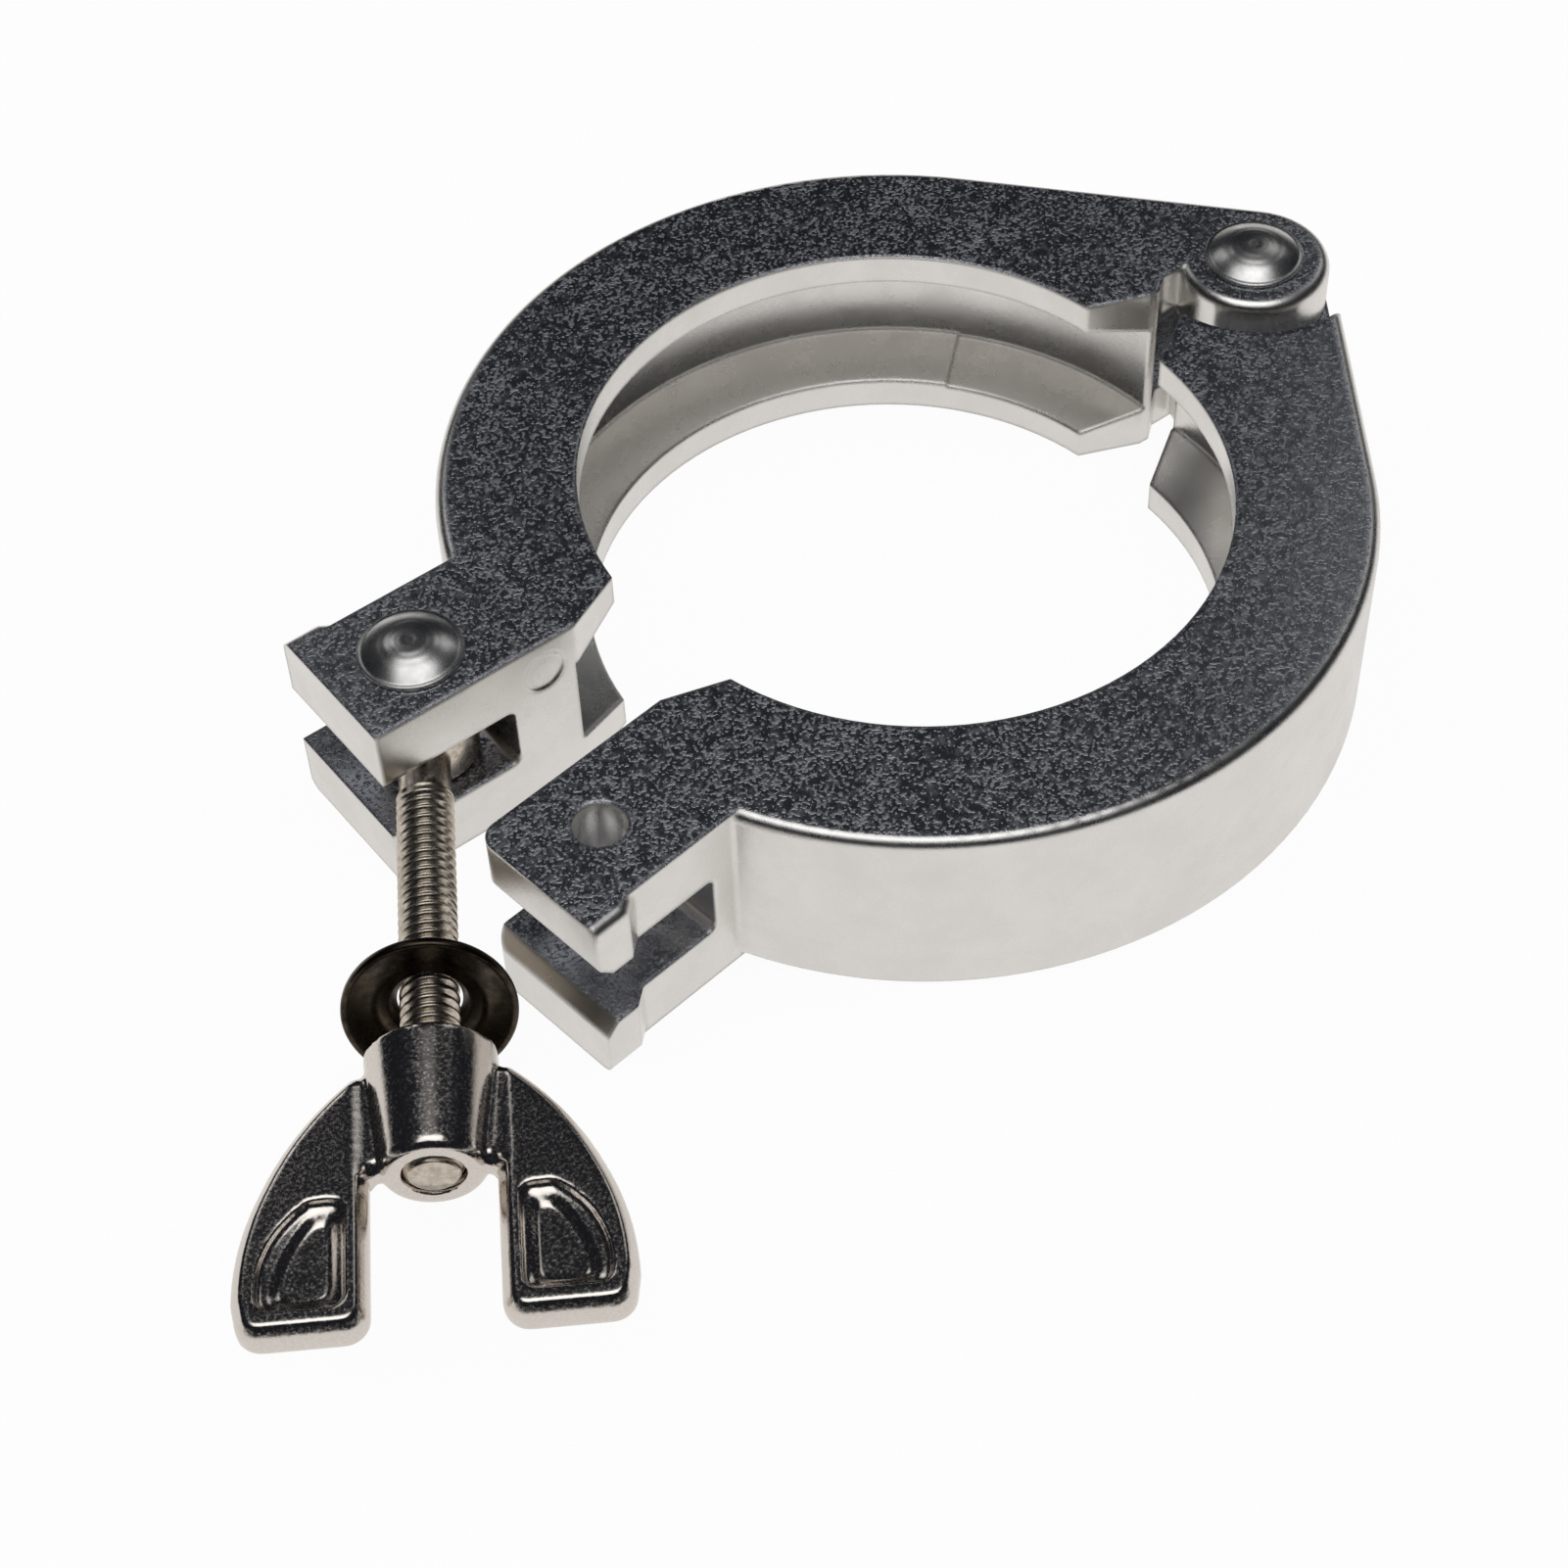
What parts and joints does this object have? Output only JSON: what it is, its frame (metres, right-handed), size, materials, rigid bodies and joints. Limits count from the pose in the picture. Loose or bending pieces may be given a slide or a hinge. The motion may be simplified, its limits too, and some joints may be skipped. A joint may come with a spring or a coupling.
{
  "type": "kf flange clamp",
  "caption": "Hinged cast clamp for a pair of small vacuum flanges: two grooved half rings, a swing bolt, a cup washer and a wing nut",
  "frame": {"origin": "on the ring's axis in the joint plane of the two flanges, midway between the clamp's faces", "axes": "+Z along the ring's axis, +X from the ring's axis to the hinge pin, the half with the fork on the +Y side"},
  "size_m": [0.1193, 0.0772, 0.0173],
  "materials": {
    "cast_aluminium": "tumbled die casting, satin with a fine grain",
    "rivet_steel": "satin stainless, formed head",
    "bolt_steel": "rolled thread, bright stainless",
    "washer_steel": "dull nickel over pressed steel",
    "plated_zinc": "bright nickel plate over a die casting"
  },
  "bodies": {
    "fork_side": {"fork_half": "cast_aluminium", "hinge_rivet": "rivet_steel", "pivot_rivet": "rivet_steel"},
    "tongue_side": {"tongue_half": "cast_aluminium"},
    "bolt": {"swing_bolt": "bolt_steel"},
    "washer": {"cup_washer": "washer_steel"},
    "nut": {"wing_nut": "plated_zinc"}
  },
  "joints": [
    {"name": "half_hinge", "type": "hinge", "parent": "fork_side", "child": "tongue_side", "pos_m": [0.0369, -0.0006, 0], "axis": [0, 0, 1], "range_deg": [-6.66, 163.3]},
    {"name": "bolt_swing", "type": "hinge", "parent": "fork_side", "child": "bolt", "pos_m": [-0.03815, 0.0064, 0], "axis": [0, 0, 1], "range_deg": [-148, 4]},
    {"name": "washer_travel", "type": "slide", "parent": "bolt", "child": "washer", "axis": [0.5402, 0.8415, 0], "range_m": [0, 0.00238]},
    {"name": "nut_turn", "type": "hinge", "parent": "washer", "child": "nut", "pos_m": [-0.05652, -0.02221, 0], "axis": [0.5402, 0.8415, 0], "range_deg": [0, 1081]}
  ],
  "couplings": [
    {"joint": "nut_turn", "follows": "washer_travel", "rad_per_m": 7915.8}
  ]
}
